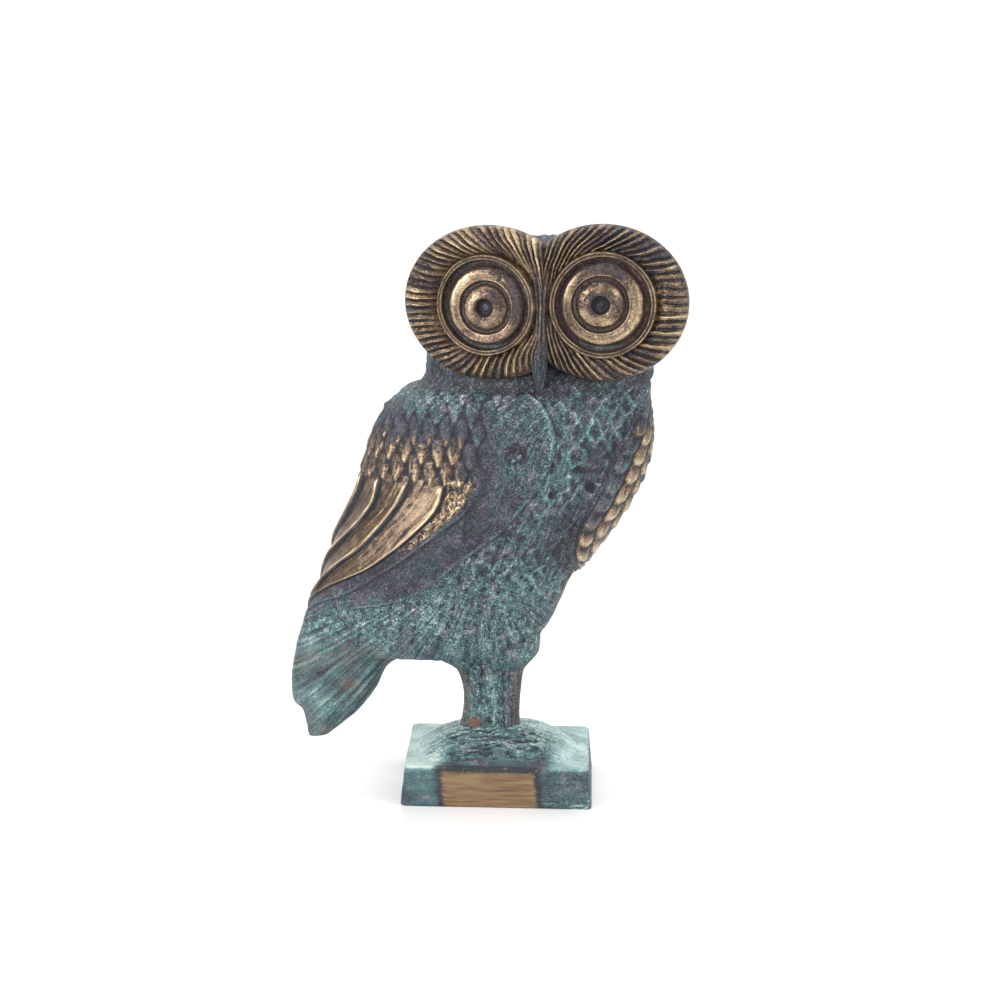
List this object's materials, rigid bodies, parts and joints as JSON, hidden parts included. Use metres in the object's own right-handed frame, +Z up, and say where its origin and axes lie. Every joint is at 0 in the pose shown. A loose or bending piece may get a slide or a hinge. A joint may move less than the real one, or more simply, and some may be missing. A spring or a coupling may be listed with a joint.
{
  "type": "owl statue",
  "caption": "Small cast bronze owl standing upright on a square plinth, with round ringed eyes in a ruffed face, folded scaled wings, a hanging tail and green patina.",
  "frame": {"origin": "middle of the square plinth's flat underside", "axes": "+Z up; -Y is the front, where the owl's face looks; the tail hangs towards -X and the breast leans towards +X"},
  "size_m": [0.0785, 0.037, 0.1162],
  "materials": {
    "patinated_bronze": "cast bronze with green and dark purple-brown patina, its raised edges rubbed back to bare metal"
  },
  "bodies": {
    "root": {"owl_statue": "patinated_bronze"}
  },
  "joints": []
}
